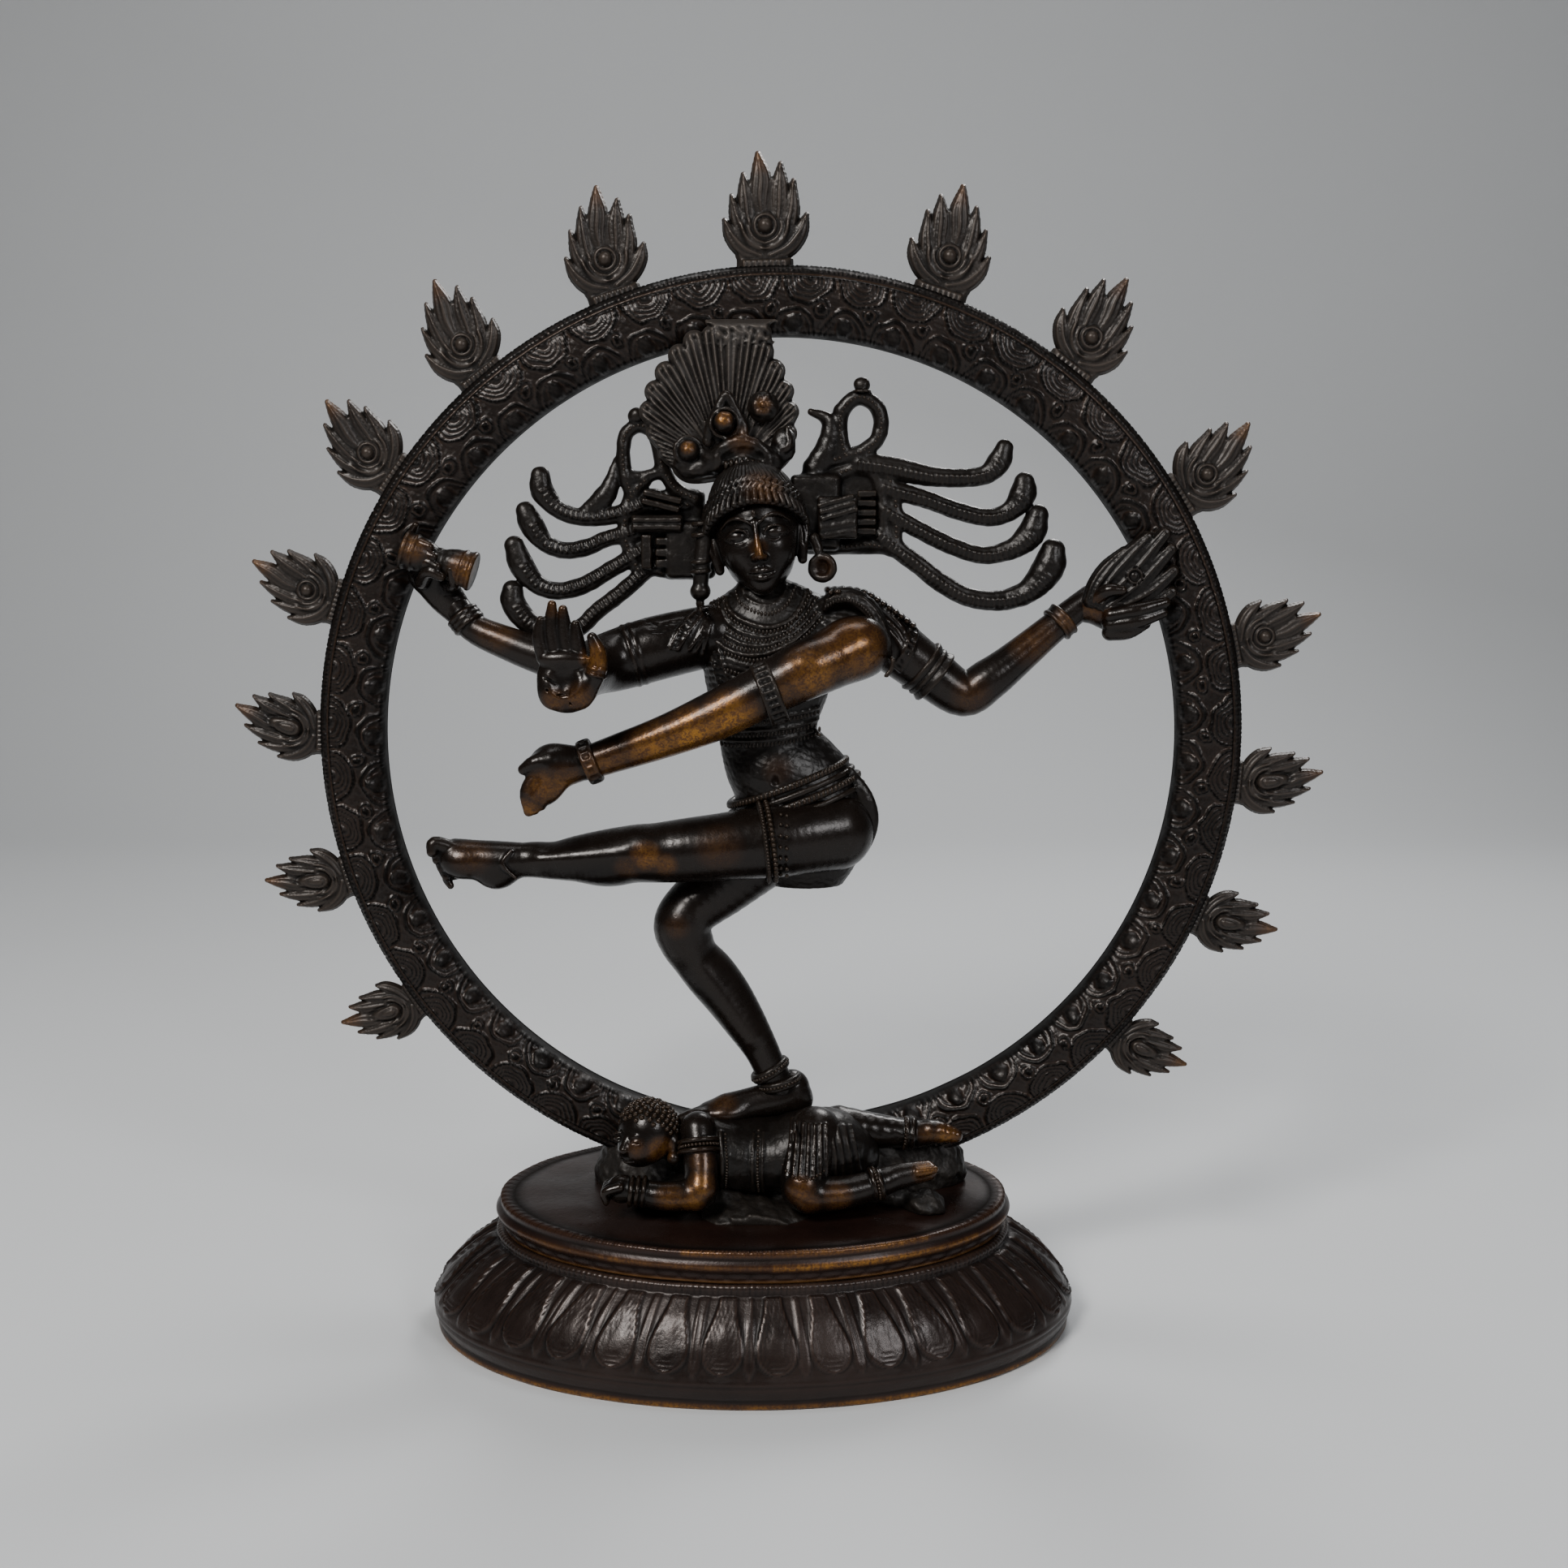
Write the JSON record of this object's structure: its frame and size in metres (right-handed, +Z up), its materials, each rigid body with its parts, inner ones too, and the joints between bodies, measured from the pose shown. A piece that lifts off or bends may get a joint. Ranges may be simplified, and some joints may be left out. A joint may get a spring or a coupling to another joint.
{
  "type": "nataraja statue",
  "caption": "Cast brass dancing figure with four arms, one leg raised, on a dwarf, inside a ring edged with flames, on an oval hollow lotus base.",
  "frame": {"origin": "on the resting surface, under the middle of the statue's bounding box", "axes": "+Z up; the figure and the ring's relief face -Y; +X is to the right as seen from the front"},
  "size_m": [0.354, 0.1344, 0.3806],
  "materials": {
    "dark_patina": "near black brown patina, satin, with brass showing on worn high spots",
    "worn_brass": "patina rubbed through to golden brown brass",
    "red_patina": "reddish brown patina, satin",
    "fixings": "plain zinc grey"
  },
  "bodies": {
    "root": {"lotus_base": "dark_patina", "flame_ring": "dark_patina", "flame_top": "dark_patina", "flame_left_1": "dark_patina", "flame_left_2": "dark_patina", "flame_left_3": "dark_patina", "flame_left_4": "dark_patina", "flame_left_5": "dark_patina", "flame_left_6": "dark_patina", "flame_left_7": "dark_patina", "flame_right_1": "dark_patina", "flame_right_2": "dark_patina", "flame_right_3": "dark_patina", "flame_right_4": "dark_patina", "flame_right_5": "dark_patina", "flame_right_6": "dark_patina", "flame_right_7": "dark_patina", "dwarf_mound": "dark_patina", "dwarf_body": "dark_patina", "dwarf_head": "dark_patina", "dwarf_far_leg": "dark_patina", "torso": "dark_patina", "hip_belt": "dark_patina", "head": "dark_patina", "hair_cap": "dark_patina", "crest_fan": "dark_patina", "hair_wing_left": "dark_patina", "hair_wing_right": "dark_patina", "ear_pendant": "dark_patina", "ear_ring": "dark_patina", "drum_arm": "dark_patina", "drum_hand": "dark_patina", "blessing_arm": "dark_patina", "blessing_hand": "dark_patina", "crossing_armlet": "dark_patina", "crossing_bangle": "dark_patina", "fire_arm": "dark_patina", "fire_armlet": "dark_patina", "fire_bangle": "dark_patina", "fire_hand": "dark_patina", "hand_flame": "dark_patina", "standing_leg": "dark_patina", "standing_anklet": "dark_patina", "standing_foot": "dark_patina", "raised_leg": "dark_patina", "raised_garter": "dark_patina", "raised_foot": "dark_patina", "dwarf_arm": "worn_brass", "dwarf_near_leg": "worn_brass", "crest_boss": "worn_brass", "drum": "worn_brass", "crossing_arm": "worn_brass", "crossing_hand": "worn_brass", "platform": "red_patina", "base_bolt_left": "fixings", "base_bolt_right": "fixings", "base_washer_left": "fixings", "base_washer_right": "fixings"}
  },
  "joints": []
}
